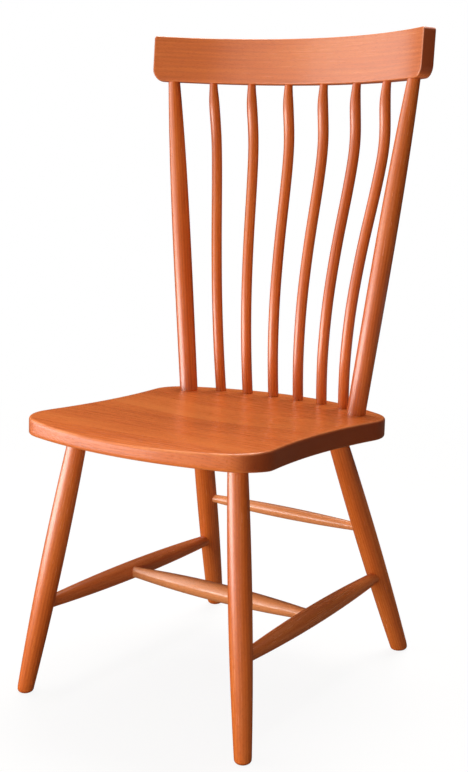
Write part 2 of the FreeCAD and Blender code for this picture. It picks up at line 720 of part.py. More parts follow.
def build_chair():
    """Every piece of the chair by name."""
    pieces = {}
    seat_drills = [spindle_seat_socket(i) for i in range(SPINDLE_COUNT)]
    crest_drills = [spindle_crest_socket(i) for i in range(SPINDLE_COUNT)]
    for name, side in SIDES.items():
        pieces["leg_front_" + name] = make_leg(FRONT_LEGS, side, front_leg_drills(side))
        pieces["leg_rear_" + name] = make_leg(REAR_LEGS, side, rear_leg_drills(side))
        pieces["leg_wedge_front_" + name] = make_leg_wedge(FRONT_LEGS, side)
        pieces["leg_wedge_rear_" + name] = make_leg_wedge(REAR_LEGS, side)
        pieces["side_stretcher_" + name] = make_side_stretcher(side)
        pieces["back_post_" + name] = make_post(side, [crest_pin_drill(side)])
        pieces["post_wedge_" + name] = make_post_wedge(side)
        pieces["crest_pin_" + name] = make_crest_pin(side)
        seat_drills += leg_socket(FRONT_LEGS, side) + leg_socket(REAR_LEGS, side) + post_sockets(side)
        crest_drills += [post_crest_socket(side), crest_pin_drill(side)]
    for i in range(SPINDLE_COUNT):
        pieces["spindle_%d" % (i + 1)] = make_spindle(i)
    pieces["centre_stretcher"] = make_stretcher(
        centre_stretcher_end(-1),
        centre_stretcher_end(1),
        CENTRE_STRETCHER_DIA,
        CENTRE_STRETCHER_TENON_DIA,
        SIDE_STRETCHER_DIA,
        SIDE_STRETCHER_DIA,
    )
    pieces["rear_stretcher"] = make_stretcher(
        rear_stretcher_end(-1),
        rear_stretcher_end(1),
        REAR_STRETCHER_DIA,
        REAR_STRETCHER_TENON_DIA,
        REAR_LEG_SWELL_DIA,
        REAR_LEG_SWELL_DIA,
    )
    pieces["seat"] = make_seat(seat_drills)
    pieces["crest_rail"] = make_crest(crest_drills)
    return pieces


os.makedirs("parts", exist_ok=True)
for node, shape in build_chair().items():
    shape.exportStep("parts/%s.step" % node)
    print("%-24s valid %s, %.1f cm3" % (node, shape.isValid(), shape.Volume / 1000))
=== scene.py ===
# %% [markdown]
# # A Windsor dining chair in stained wood
#
# Everything on this chair is socketed into a thick saddled seat: four turned legs braced by stretchers below,
# and two posts, six bent spindles and a bent crest rail above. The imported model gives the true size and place
# of each piece. Here each piece is measured from that model and made again as a smooth surface that carries
# its own wood grain, so that the grain runs along a turned leg, round a bent rail and into an end.

# %% Load the frame
import math

import bmesh
import bpy
import numpy as np
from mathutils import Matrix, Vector
from mathutils.bvhtree import BVHTree


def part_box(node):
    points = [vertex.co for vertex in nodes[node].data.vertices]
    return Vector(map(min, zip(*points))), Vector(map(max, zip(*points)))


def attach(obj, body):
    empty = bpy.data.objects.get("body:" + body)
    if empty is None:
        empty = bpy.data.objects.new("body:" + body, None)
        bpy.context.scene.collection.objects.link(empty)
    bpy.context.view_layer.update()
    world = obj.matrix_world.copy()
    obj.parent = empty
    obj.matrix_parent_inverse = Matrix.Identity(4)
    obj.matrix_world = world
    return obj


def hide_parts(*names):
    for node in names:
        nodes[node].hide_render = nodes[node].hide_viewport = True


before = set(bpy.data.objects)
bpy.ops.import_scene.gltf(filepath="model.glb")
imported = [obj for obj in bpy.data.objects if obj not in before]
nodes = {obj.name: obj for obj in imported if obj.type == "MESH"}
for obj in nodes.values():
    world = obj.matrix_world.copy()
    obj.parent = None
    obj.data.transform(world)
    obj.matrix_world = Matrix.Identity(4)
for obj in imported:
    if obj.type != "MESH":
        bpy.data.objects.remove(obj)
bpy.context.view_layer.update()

# %% [markdown]
# ## The camera
#
# The camera comes first, because every later choice is judged through it. It could be nudged by eye until the
# picture fits. But the chair's two halves mirror each other and its feet stand on one floor, which fixes the
# perspective, so place, turn and lens were worked out from that. The chair stands with its front turned to
# the camera's left, a little below the lens.

# %% Place the camera
PICTURE_LONG_SIDE = 772  # pixels
FOCAL_LENGTH = 1357.0  # pixels
CAMERA_PLACE = (1.2326, -1.7249, 0.9224)
CAMERA_AZIMUTH = math.radians(34.98)
CAMERA_DOWN = math.radians(11.644)

camera = bpy.data.cameras.new("camera")
camera.lens = FOCAL_LENGTH / PICTURE_LONG_SIDE * camera.sensor_width
viewer = bpy.data.objects.new("viewer", camera)
viewer.location = CAMERA_PLACE
viewer.rotation_euler = (math.pi / 2 - CAMERA_DOWN, 0, CAMERA_AZIMUTH)
bpy.context.scene.collection.objects.link(viewer)
bpy.context.scene.camera = viewer
print("lens %.1f mm" % camera.lens)

# %% [markdown]
# ## Measuring a turned piece
#
# A leg, post, spindle or stretcher is round everywhere, so two things describe it: a middle line and a radius
# at each place along it. Both could be typed in, but the frame already holds them. Rays cast outwards from
# inside the piece find its skin. The middle of one section comes from how unequal opposite rays are, and the
# radius from how far the hits lie from that middle. Sections that cross a socket aren't round, and are left
# out. A smooth polynomial through the rest gives a surface without facets.

# %% Read a piece's triangles
def points_of(node):
    """The corners of a node's triangles."""
    mesh = nodes[node].data
    points = np.empty(len(mesh.vertices) * 3)
    mesh.vertices.foreach_get("co", points)
    return points.reshape(-1, 3)


def search_tree(node):
    """A tree of a node's triangles, in which rays can be cast."""
    mesh = nodes[node].data
    corners = np.empty(len(mesh.loops), int)
    mesh.loops.foreach_get("vertex_index", corners)
    return BVHTree.FromPolygons(points_of(node).tolist(), corners.reshape(-1, 3).tolist())


def reach(tree, point, way):
    """How far a ray goes before it meets a triangle, or nan if it meets none."""
    distance = tree.ray_cast(Vector(point), Vector(way))[3]
    return math.nan if distance is None else distance


def unit(vectors):
    """Vectors over their own lengths."""
    return vectors / np.linalg.norm(vectors, axis=-1, keepdims=True)


def spokes(turns, first, second):
    """Directions all round: cosine of the turn times the first side, plus sine times the second."""
    return np.cos(turns)[..., None] * first + np.sin(turns)[..., None] * second


FAR = 1.0  # where rays start from, outside the chair


def out_to_skin(tree, point, way):
    """How far the skin lies from a point, by a ray from outside."""
    return FAR - reach(tree, point + way * FAR, -way)


print(len(points_of("seat")), "corners in the seat's triangles")

# %% Cut sections through a bar
RAYS = 24
STEP = 0.002  # between sections
ROUND_ENOUGH = 0.06  # most that a section's hits may differ, over its radius
SHOULDER = 0.08  # a radius that jumps more than this share is a shoulder

ray_turns = 2 * np.pi * np.arange(RAYS) / RAYS


def cut_sections(tree, start, way, sides, length):
    """Sections along a bar, one in each row: its place, 1 if it is round, its radius, and how far its middle
    lies to the first and to the second side, which is twice the mean of the hits all round."""
    outward = spokes(ray_turns, *sides)
    offset = np.zeros(3)
    sections = []
    for place in np.arange(STEP, length, STEP):
        inside = start + way * place + offset
        hits = np.array([reach(tree, inside, ray) for ray in outward])[:, None] * outward
        shift = 2 * hits.mean(0)
        radii = np.linalg.norm(hits - shift, axis=1)
        is_round = np.ptp(radii) < ROUND_ENOUGH * radii.mean()
        offset = offset + shift if is_round else offset
        sections.append((place, is_round, radii.mean(), *(offset @ side for side in sides)))
    return np.array(sections)


def full_size(sections):
    """The round sections between the shoulders, where the radius jumps to a tenon's."""
    kept = np.flatnonzero(sections[:, 1])
    radii = sections[kept, 2]
    jumps = kept[1:][np.abs(np.diff(radii)) > SHOULDER * radii[1:]]
    half = len(sections) / 2
    low = jumps[jumps < half].max(initial=0)
    high = jumps[jumps > half].min(initial=len(sections))
    return sections[kept[(kept >= low) & (kept < high)]]


print("a section every", STEP * 1e3, "mm")

# %% Describe a bar
END_SLICE = 0.05  # share of the length that finds each rough end
STRAIGHT = 1  # degree of the polynomial of a straight middle line
BENT = 17  # and of a bent one
TURNED = 25  # and of a radius, where there are sections enough
SIDEWAYS = np.array([1.0, 0.0, 0.0])
UPWARDS = np.array([0.0, 0.0, 1.0])


class Bar:
    """A turned piece. A place along it is a distance from its start, in the direction from end to end."""

    def __init__(self, node, towards_start, bend=STRAIGHT):
        points = points_of(node)
        middle = points.mean(0)
        axis = np.linalg.svd(points - middle, full_matrices=False)[2][0]
        axis = -axis if axis @ np.array(towards_start) > 0 else axis
        along = (points - middle) @ axis
        slice_length = END_SLICE * np.ptp(along)
        low_end = points[along < along.min() + slice_length].mean(0)
        high_end = points[along > along.max() - slice_length].mean(0)
        self.way = unit(high_end - low_end)
        is_sideways = abs(self.way @ SIDEWAYS) > abs(self.way @ UPWARDS)
        first = unit(np.cross(UPWARDS if is_sideways else SIDEWAYS, self.way))
        self.sides = (first, np.cross(self.way, first))
        self.start = low_end - self.way * ((low_end - middle) @ axis - along.min())
        sections = cut_sections(search_tree(node), self.start, self.way, self.sides, np.ptp(along))
        places, _, radii, *shifts = full_size(sections).T
        self.low, self.high = places[0], places[-1]
        fit = np.polynomial.Chebyshev.fit
        self.radius = fit(places, radii, min(TURNED, len(places) // 2))
        self.offsets = [fit(places, shift, bend) for shift in shifts]
        print("%-22s %.0f mm long, %.1f mm thick" % (node, np.ptp(along) * 1e3, radii.max() * 2e3))

    def middle(self, along):
        """Points of the middle line: straight along, plus the offsets that bend it."""
        held = np.clip(along, self.low, self.high)
        bend = sum(fit(held)[..., None] * side for fit, side in zip(self.offsets, self.sides))
        return self.start + along[..., None] * self.way + bend

    def skin(self, along, turn, radius=None):
        """Points of the surface: out from the middle line by the radius, at an angle round it."""
        size = self.radius(np.clip(along, self.low, self.high)) if radius is None else radius + 0 * along
        return self.middle(along) + size[..., None] * spokes(turn, *self.sides)

    def grain(self, points):
        """Where points lie in the straight blank: how far along, and how far across it two ways."""
        along = (points - self.start) @ self.way
        across = points - self.middle(along)
        return np.stack([along, *(across @ side for side in self.sides)], -1)


# %% [markdown]
# ## From rings of points to a closed piece
#
# Each new surface is a stack of rings with the same number of points. Neighbouring rings are joined by quads,
# and the first and last ring close on a pole, so that the shell has no open edge. Lathe and bend modifiers
# could make such shapes too, but only rings that we place ourselves follow a measured piece to a hair. Three
# values go with each point for the finish: where it lies in its own board, how far the surface there shows
# end grain, and how much it is rubbed as an edge.

# %% Join rings to a shell
def ring_faces(count, around):
    """Quads between neighbouring rings, closed round."""
    index = np.arange(count * around).reshape(count, around)
    after = np.roll(index, -1, axis=1)
    return np.stack([index[:-1], after[:-1], after[1:], index[1:]], -1).reshape(-1, 4)


def closed_shell(rings):
    """Points and faces of a stack of rings that closes on a pole at each end."""
    count, around = rings.shape[:2]
    points = np.concatenate([rings.reshape(-1, 3), [rings[0].mean(0), rings[-1].mean(0)]])
    ring = np.arange(around)
    after = np.roll(ring, -1)
    last = (count - 1) * around
    pole = count * around
    first_cap = np.stack([after, ring, np.full(around, pole)], -1)
    last_cap = np.stack([last + ring, last + after, np.full(around, pole + 1)], -1)
    return points, ring_faces(count, around).tolist() + first_cap.tolist() + last_cap.tolist()


print(len(ring_faces(3, 8)), "quads join three rings of eight points")

# %% Keep values on a mesh
def smoothstep(values, low, high):
    """0 below low, 1 above high, and an easy curve between."""
    share = np.clip((values - low) / (high - low), 0, 1)
    return share * share * (3 - 2 * share)


def store(mesh, name, kind, field, values):
    """Keeps one value for each of the mesh's points, for the materials to read."""
    mesh.attributes.new(name, kind, "POINT").data.foreach_set(field, np.ascontiguousarray(values).ravel())


# %% Make a piece from a shell
END_GRAIN_FROM = 0.45  # cosine of the slant to the grain at which end grain starts to show
END_GRAIN_FULL = 0.9
BLANK_SPREAD = np.array([3.0, 0.03, 0.03])  # how far apart in the log the pieces' blanks may lie

randomness = np.random.default_rng(7)


def make_piece(name, shell, grain, grain_way, finish, edge=None):
    """A smooth object from points and faces, with the values that its finish reads. It rides on the frame,
    and takes the place of the frame's piece of its name, if there is one."""
    points, faces = shell
    mesh = bpy.data.meshes.new(name)
    mesh.from_pydata(points.tolist(), [], faces)
    mesh.shade_smooth()
    normals = np.empty(len(points) * 3)
    mesh.vertices.foreach_get("normal", normals)
    slant = np.abs((normals.reshape(-1, 3) * grain_way).sum(-1))
    blank = randomness.uniform(-BLANK_SPREAD, BLANK_SPREAD)
    store(mesh, "grain", "FLOAT_VECTOR", "vector", grain + blank)
    store(mesh, "end", "FLOAT", "value", smoothstep(slant, END_GRAIN_FROM, END_GRAIN_FULL))
    store(mesh, "edge", "FLOAT", "value", np.zeros(len(points)) if edge is None else edge)
    mesh.materials.append(finishes[finish])
    piece = bpy.data.objects.new(name + "_surface", mesh)
    bpy.context.scene.collection.objects.link(piece)
    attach(piece, "root")
    if name in nodes:
        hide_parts(name)
    print("%-22s %d faces" % (name, len(faces)))
    return piece


def make_bar(name, bar, rings, finish):
    """A piece that is turned, whose grain runs along the bar that it was measured from."""
    shell = closed_shell(rings)
    make_piece(name, shell, bar.grain(shell[0]), bar.way, finish)


# %% [markdown]
# ## The finish: stained and lacquered wood
#
# The wood is a pale, close-grained hardwood under an orange-brown stain and a satin lacquer. A flat colour
# would look like plastic, and a flat picture of wood wouldn't turn with a leg. So the colour is built as the
# wood is: yearly layers seen as soft bands, fine fibres stretched along the grain, and short dark pores that
# took up more stain. End grain drinks stain and turns darker and duller, and rubbed edges turn paler, as do
# whole pieces that were rubbed down. The two stretchers across the chair are made much paler still, as a
# painted sheen. All of it reads the piece's own grain value, so it follows the board through turning and
# bending.

# %% Helpers for shader nodes
def plug(tree, node, inputs):
    """Links a node's inputs to sockets, or sets them to values."""
    for name, value in dict(inputs).items():
        if isinstance(value, bpy.types.NodeSocket):
            tree.links.new(value, node.inputs[name])
        else:
            node.inputs[name].default_value = value
    return node


def add(tree, kind, inputs=(), **settings):
    """A new node with its settings and inputs."""
    node = tree.nodes.new(kind)
    for name, value in settings.items():
        setattr(node, name, value)
    return plug(tree, node, inputs)


def new_material(name):
    """A material, its tree of nodes and its shader."""
    material = bpy.data.materials.new(name)
    material.use_nodes = True
    return material, material.node_tree, material.node_tree.nodes["Principled BSDF"]


# %% Helpers for sums and colours
def calculate(tree, operation, *values):
    """The result of one sum on numbers or sockets."""
    return add(tree, "ShaderNodeMath", enumerate(values), operation=operation).outputs[0]


def weighted(tree, patterns, weights, total=0.0):
    """A total, with each pattern that has a weight added, times that weight."""
    for name, weight in weights.items():
        total = calculate(tree, "MULTIPLY_ADD", patterns[name], weight, total)
    return total


def scaled(tree, value, low, high, new_low=0.0, new_high=1.0):
    """A value carried from one range to another, and held inside it."""
    ranges = {"Value": value, 1: low, 2: high, 3: new_low, 4: new_high}
    return add(tree, "ShaderNodeMapRange", ranges).outputs[0]


def blend(tree, amount, first, second):
    """The first colour, taken towards the second by this amount."""
    return add(tree, "ShaderNodeMix", {0: amount, 6: first, 7: second}, data_type="RGBA").outputs[2]


def tinted(tree, colour, pattern, strength, tint):
    """A colour, taken towards a tint where a pattern is high, and at most by this strength."""
    return blend(tree, calculate(tree, "MULTIPLY", pattern, strength), colour, tint)


# %% Yearly layers
LAYER_WIDTH = 0.0042  # one year's growth
PITH = {"Y": 0.05, "Z": -0.11}  # how far the log's middle lies from the piece, across the grain two ways
WANDER = 0.012  # how far a layer strays
WANDER_SPOTS = (2.4, 16.0)  # spots per metre along and across the grain


def long_noise(tree, grain, spots, detail=2.0):
    """Noise with spots that are long in the grain's direction; spots are how many fit in a metre along and
    across it."""
    along, across = spots
    stretch = {0: grain, 1: (along, across, across)}
    vector = add(tree, "ShaderNodeVectorMath", stretch, operation="MULTIPLY").outputs[0]
    return add(tree, "ShaderNodeTexNoise", {"Vector": vector, "Scale": 1.0, "Detail": detail}).outputs[0]


def layers(tree, grain):
    """Yearly layers: the sine of 2 pi times the distance from the log's middle over a layer's width. The
    distance strays slowly along the board."""
    place = add(tree, "ShaderNodeSeparateXYZ", {0: grain}).outputs
    across = [calculate(tree, "ADD", place[axis], pith) for axis, pith in PITH.items()]
    squares = [calculate(tree, "POWER", value, 2.0) for value in across]
    from_pith = calculate(tree, "SQRT", calculate(tree, "ADD", *squares))
    stray = calculate(tree, "MULTIPLY", long_noise(tree, grain, WANDER_SPOTS), WANDER)
    distance = calculate(tree, "ADD", from_pith, stray)
    wave = calculate(tree, "SINE", calculate(tree, "MULTIPLY", distance, 2 * math.pi / LAYER_WIDTH))
    return scaled(tree, wave, -1.0, 1.0)


print("layers %.1f mm wide" % (LAYER_WIDTH * 1e3))

# %% Glued boards
SEAT_BOARD = 0.094  # width of the seat's boards
GLUE_LINE = 0.0004  # how far a glue joint's line reaches to each side


def boards(tree, grain, width):
    """A glued-up plank: each board has its own place in the log and its own tone. The new grain value, a
    tone from 0 to 1, and a fine line that is 1 on the glue joints."""
    across = add(tree, "ShaderNodeSeparateXYZ", {0: grain}).outputs["Y"]
    place = calculate(tree, "DIVIDE", across, width)
    number = calculate(tree, "FLOOR", place)
    random = add(tree, "ShaderNodeTexWhiteNoise", {"W": number}, noise_dimensions="1D").outputs
    shifted = add(tree, "ShaderNodeVectorMath", {0: grain, 1: random["Color"]}, operation="ADD").outputs[0]
    from_middle = calculate(tree, "SUBTRACT", calculate(tree, "FRACT", place), 0.5)
    line = scaled(tree, calculate(tree, "ABSOLUTE", from_middle), 0.5 - GLUE_LINE / width, 0.5)
    return shifted, random["Value"], line


# %% Gather the wood's patterns
NOISES = {  # spots per metre along and across the grain, and octaves of finer ones
    "fibres": ((22.0, 620.0), 3.0),
    "streaks": ((5.0, 110.0), 2.0),
    "clouds": ((3.0, 11.0), 2.0),
    "pores": ((190.0, 2600.0), 0.0),
}
PORE_NOISE = (0.63, 0.72)  # where noise turns to pore
EVEN_TONE = 0.5


def wood_patterns(tree, board_width):
    """All that the finish is mixed from, each about 0 to 1."""
    grain = add(tree, "ShaderNodeAttribute", attribute_name="grain").outputs["Vector"]
    patterns = {"tone": EVEN_TONE}
    for name in ("end", "edge"):
        patterns[name] = add(tree, "ShaderNodeAttribute", attribute_name=name).outputs["Fac"]
    if board_width:
        grain, patterns["tone"], patterns["joint"] = boards(tree, grain, board_width)
    for name, (spots, detail) in NOISES.items():
        patterns[name] = long_noise(tree, grain, spots, detail)
    patterns["pores"] = scaled(tree, patterns["pores"], *PORE_NOISE)
    patterns["layers"] = layers(tree, grain)
    return patterns


print("patterns of noise:", ", ".join(NOISES))

# %% Mix the wood's colour
STAIN_DARK = (0.390, 0.060, 0.008, 1.0)
STAIN = (0.620, 0.134, 0.020, 1.0)
STAIN_LIGHT = (0.720, 0.210, 0.042, 1.0)
END_STAIN = (0.230, 0.036, 0.009, 1.0)
# pale rubbed wood for worn edges, and also a painted sheen where whole pieces are paled towards it
RUBBED_AND_SHEEN = (0.800, 0.330, 0.130, 1.0)
COLOUR_WEIGHTS = {"layers": 0.16, "fibres": 0.42, "streaks": 0.5, "clouds": 0.75, "tone": 0.16}
COLOUR_RANGE = (0.55, 1.45)  # sums that give the darkest and the lightest stain
PORE_DARKNESS = 0.45
JOINT_DARKNESS = 0.5
END_DARKNESS = 0.8
RUB_STREAKS = (0.35, 0.65, 0.4, 1.0)  # streaks between the first two rub an edge between the last two
RUB_STRENGTH = 0.45


def stained(tree, patterns, paleness):
    """The stain's colour: the patterns pick it from dark to light, paleness takes it towards a pale colour all
    over, as wear and, where it is high, as a painted sheen, and pores, joints, edges and ends tint it."""
    amount = scaled(tree, weighted(tree, patterns, COLOUR_WEIGHTS), *COLOUR_RANGE)
    ramp = add(tree, "ShaderNodeValToRGB", {0: amount})
    stops = ramp.color_ramp.elements
    stops[0].color = STAIN_DARK
    stops[1].color = STAIN_LIGHT
    stops.new(0.5).color = STAIN
    colour = blend(tree, paleness, ramp.outputs[0], RUBBED_AND_SHEEN)
    colour = tinted(tree, colour, patterns["pores"], PORE_DARKNESS, STAIN_DARK)
    if "joint" in patterns:
        colour = tinted(tree, colour, patterns["joint"], JOINT_DARKNESS, STAIN_DARK)
    rub = calculate(tree, "MULTIPLY", scaled(tree, patterns["streaks"], *RUB_STREAKS), RUB_STRENGTH)
    colour = tinted(tree, colour, patterns["edge"], rub, RUBBED_AND_SHEEN)
    return tinted(tree, colour, patterns["end"], END_DARKNESS, END_STAIN)


# %% Make the stained finishes
DULL_WEIGHTS = {"fibres": 0.12, "clouds": 0.06, "end": 0.12}
HEIGHT_WEIGHTS = {"fibres": 1.0, "pores": -0.6, "streaks": 0.5}
BUMP_DEPTH = 0.00008
BUMP_STRENGTH = 0.7
STAINED_LOOKS = {
    "seat_wood": {"roughness": 0.25, "shine": 0.5, "paleness": 0.1, "board_width": SEAT_BOARD},
    "crest_wood": {"shine": 0.9, "paleness": 0.2},
    "post_wood": {},
    "spindle_wood": {},
    "leg_wood": {},
    "stretcher_wood": {"paleness": 0.2},
    # made very pale all over: a painted sheen on the two cross stretchers
    "sheen_painted_stretcher_wood": {"paleness": 0.8},
    "peg_wood": {"roughness": 0.42, "shine": 0.6},
}


def stained_wood(name, roughness=0.22, shine=1.0, paleness=0.0, board_width=None):
    """Stained and lacquered wood. Fibres, ends and slow clouds dull the lacquer, and it sinks a little into
    the pores."""
    material, tree, shader = new_material(name)
    patterns = wood_patterns(tree, board_width)
    height = weighted(tree, patterns, HEIGHT_WEIGHTS)
    bump = add(tree, "ShaderNodeBump", {"Height": height, "Distance": BUMP_DEPTH, "Strength": BUMP_STRENGTH})
    plug(tree, shader, {
        "Base Color": stained(tree, patterns, paleness),
        "Roughness": weighted(tree, patterns, DULL_WEIGHTS, roughness - DULL_WEIGHTS["fibres"] / 2),
        "Specular IOR Level": shine,
        "Normal": bump.outputs[0],
    })
    return material


finishes = {name: stained_wood(name, **look) for name, look in STAINED_LOOKS.items()}
print(len(finishes), "stained finishes")

# %% [markdown]
# ## Bare hardwood for the wedges
#
# The wedges in the joints never meet the stain. They are split from pale hardwood, so their fibres run along
# them. The stained wood with paler colours would do, but bare wood is plainer: stretched noise between two
# colours, and no gloss. The wedges inside the legs stay as the frame made them. They have no grain value, so
# this finish reads their place in space.

# %% Make the bare hardwood
BARE_DARK = (0.36, 0.20, 0.09, 1.0)
BARE_LIGHT = (0.60, 0.40, 0.21, 1.0)
BARE_SPOTS = (900.0, 900.0, 40.0)  # spots per metre across, across and up
BARE_NOISE = (0.3, 0.7)  # noise that gives the dark and the light colour
BARE_ROUGHNESS = 0.55
BARE_DULLNESS = 0.2  # what a fibre adds to it


def bare_hardwood(name):
    """Unfinished pale wood, whose fibres are noise stretched up and down."""
    material, tree, shader = new_material(name)
    place = add(tree, "ShaderNodeTexCoord").outputs["Object"]
    vector = add(tree, "ShaderNodeVectorMath", {0: place, 1: BARE_SPOTS}, operation="MULTIPLY").outputs[0]
    fibres = add(tree, "ShaderNodeTexNoise", {"Vector": vector, "Scale": 1.0, "Detail": 3.0}).outputs[0]
    bump = add(tree, "ShaderNodeBump", {"Height": fibres, "Distance": BUMP_DEPTH})
    plug(tree, shader, {
        "Base Color": blend(tree, scaled(tree, fibres, *BARE_NOISE), BARE_DARK, BARE_LIGHT),
        "Roughness": calculate(tree, "MULTIPLY_ADD", fibres, BARE_DULLNESS, BARE_ROUGHNESS),
        "Normal": bump.outputs[0],
    })
    return material


finishes["wedge_wood"] = bare_hardwood("wedge_wood")
leg_wedges = [name for name in nodes if name.startswith("leg_wedge")]
for name in leg_wedges:
    nodes[name].data.materials.clear()
    nodes[name].data.materials.append(finishes["wedge_wood"])
print("bare wood on", leg_wedges)

# %% [markdown]
# ## A bar that is sawn off
#
# A leg stands on the floor at a slant, so its foot is sawn along the floor and not square to the leg, and the
# sawn edge is then rounded over. A Boolean cut and a bevel would leave uneven faces, and a ring square to the
# leg can't follow such a cut. So each line of the surface along the leg is followed to where it meets the
# cut, its corner there is replaced by an arc between the cut and the line, and the rings above ease from that
# slanted shape to square.

# %% Find where a plane cuts a bar
AROUND = 80  # points in a ring
NEWTON_STEPS = 6

around_turns = 2 * np.pi * np.arange(AROUND) / AROUND


def meets(bar, plane_point, plane_normal, place_at):
    """How far along each line of a bar a plane cuts it: step by step towards no height over the plane."""
    along = np.zeros(AROUND)
    for _ in range(NEWTON_STEPS):
        along = along - (place_at(along) - plane_point) @ plane_normal / (bar.way @ plane_normal)
    return along


# %% Round the sawn edge
ARC_RINGS = 8
SOLE_SHARES = (1 / 3, 2 / 3)  # rings on the sawn face, over its radius


def sawn_rings(bar, plane_point, plane_normal, rounding, radius=None):
    """Rings over the sawn face, round its edge and up to the skin, and how far along the skin they end. The
    arc is a rational curve whose middle weight is the sine of half the corner's angle."""
    along = meets(bar, plane_point, plane_normal, lambda place: bar.skin(place, around_turns, radius))
    corner = bar.skin(along, around_turns, radius)
    heart = bar.middle(meets(bar, plane_point, plane_normal, bar.middle)[:1])
    inward = unit(heart - corner)
    upward = unit(bar.skin(along + STEP, around_turns, radius) - corner)
    cosine = (inward * upward).sum(-1)[:, None]
    cut_back = rounding * np.sqrt((1 + cosine) / (1 - cosine))
    weight = np.sqrt((1 - cosine) / 2)
    skin_along = along + cut_back[:, 0]
    skin_start = bar.skin(skin_along, around_turns, radius)
    sole_start = corner + inward * cut_back
    arc = []
    for share in np.linspace(0, 1, ARC_RINGS):
        parts = ((1 - share) ** 2, 2 * weight * share * (1 - share), share**2)
        arc.append((parts[0] * sole_start + parts[1] * corner + parts[2] * skin_start) / sum(parts))
    sole = [heart + (sole_start - heart) * share for share in SOLE_SHARES]
    return np.array(sole + arc), skin_along


# %% Run rings along the skin
RING_GAP = 0.003


def bar_rings(bar, low, high, radius=None):
    """Rings along the skin. Low may be one place or a place for each line; high is one place."""
    low = np.broadcast_to(low, AROUND)
    share = np.linspace(0, 1, round((high - low.mean()) / RING_GAP))[:, None]
    return bar.skin(low * (1 - share) + high * share, around_turns, radius)


# %% [markdown]
# ## Legs
#
# Each leg is turned with one long swell and a slimmer foot, and stands splayed. One leg could be copied four
# times, but each has its own slant, sawn foot and piece of wood, so each is made from its own measures. Its
# top goes into a blind socket: only the full-size part up to the seat is made, and it ends a few millimetres
# inside the plank.

# %% Make the legs
FOOT_ROUND = 0.006
FLOOR_POINT = np.zeros(3)
DOWN = -UPWARDS

for name in ("leg_front_left", "leg_front_right", "leg_rear_left", "leg_rear_right"):
    leg = Bar(name, towards_start=DOWN)
    foot, skin_low = sawn_rings(leg, FLOOR_POINT, DOWN, FOOT_ROUND)
    make_bar(name, leg, np.concatenate([foot, bar_rings(leg, skin_low, leg.high)[1:]]), "leg_wood")

# %% [markdown]
# ## Stretchers
#
# Two side stretchers, the centre stretcher between them and a thin one between the rear legs. Each swells
# towards its middle and narrows to its tenons. A stretched cylinder would lose that swell, so they are
# measured too. Their ends are hidden inside the legs, and plain rings from end to end do. The two that run
# across the chair are made much paler than the rest, which is a painted sheen.

# %% Make the stretchers
FORWARDS = (0.0, -1.0, 0.0)
LEFTWARDS = (-1.0, 0.0, 0.0)
STRETCHERS = {  # the way to the start, and the finish
    "side_stretcher_left": (FORWARDS, "stretcher_wood"),
    "side_stretcher_right": (FORWARDS, "stretcher_wood"),
    # the two cross stretchers take the very pale finish, a painted sheen
    "centre_stretcher": (LEFTWARDS, "sheen_painted_stretcher_wood"),
    "rear_stretcher": (LEFTWARDS, "sheen_painted_stretcher_wood"),
}

for name, (towards_start, finish) in STRETCHERS.items():
    stretcher = Bar(name, towards_start)
    rings = bar_rings(stretcher, stretcher.low, stretcher.high)
    make_bar(name, stretcher, rings, finish)

# %% [markdown]
# ## Spindles
#
# The spindles are turned straight, steamed and bent in a slow S: forward to meet the small of the back, then
# back to the crest rail. A curve with a bevel would give a tube of one thickness, but these taper, so they
# are measured as the legs are. The polynomial of the middle line has more degrees here, to follow the bend.
# Because the grain value is measured from the middle line, the fibres bend with the wood.

# %% Make the spindles
for name in sorted(node for node in nodes if node.startswith("spindle_")):
    spindle = Bar(name, towards_start=DOWN, bend=BENT)
    make_bar(name, spindle, bar_rings(spindle, spindle.low, spindle.high), "spindle_wood")

# %% [markdown]
# ## The seat's plane and outline
#
# The seat is one thick plank that falls a little to the back, waisted at the sides. Its outline could be
# drawn as a curve by hand, but the frame has it already. Two rays from below find the underside, which sets a
# frame for everything on the plank: across, back along it, and square up from it. Rays from outside towards
# the middle, half way up its edge, find the outline. Its finest waves are the facets of the triangles, and a
# Fourier series drops them.

# %% Find the plank
NEAR_BACK = 0.05  # share of the depth, where the plank is flat and the thickness is measured

seat_tree = search_tree("seat")
seat_low, seat_high = (np.array(corner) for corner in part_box("seat"))
seat_middle_y = (seat_low[1] + seat_high[1]) / 2
seat_depth = seat_high[1] - seat_low[1]


def under_seat(y):
    """The point of the underside on the middle plane at this y."""
    below = np.array([0.0, y, 0.0])
    return below + UPWARDS * reach(seat_tree, below, UPWARDS)


plank_back = unit(under_seat(seat_middle_y + seat_depth / 4) - under_seat(seat_middle_y - seat_depth / 4))
plank_up = np.cross(SIDEWAYS, plank_back)
plank_middle = under_seat(seat_middle_y)
thickness = out_to_skin(seat_tree, under_seat(seat_high[1] - seat_depth * NEAR_BACK), plank_up)


def on_plank(x, y, z):
    """Points from places across, back along and up from the plank, about the underside's middle."""
    return plank_middle + x[..., None] * SIDEWAYS + y[..., None] * plank_back + z[..., None] * plank_up


print("plank %.1f mm thick" % (thickness * 1e3))

# %% Find its outline
OUTLINE_RAYS = 1440
OUTLINE_POINTS = 400
KEPT_WAVES = 90
FADE_POWER = 4  # how suddenly the finer waves fade

fine_turns = 2 * np.pi * np.arange(OUTLINE_RAYS) / OUTLINE_RAYS
outward = spokes(fine_turns, SIDEWAYS, plank_back)
half_way_up = plank_middle + plank_up * thickness / 2
reaches = np.array([out_to_skin(seat_tree, half_way_up, way) for way in outward])
# The wave of number n is kept by exp(-(n / kept waves)^power).
waves = np.fft.rfft(reaches)
waves *= np.exp(-((np.arange(len(waves)) / KEPT_WAVES) ** FADE_POWER))
reaches = np.fft.irfft(waves, OUTLINE_RAYS)

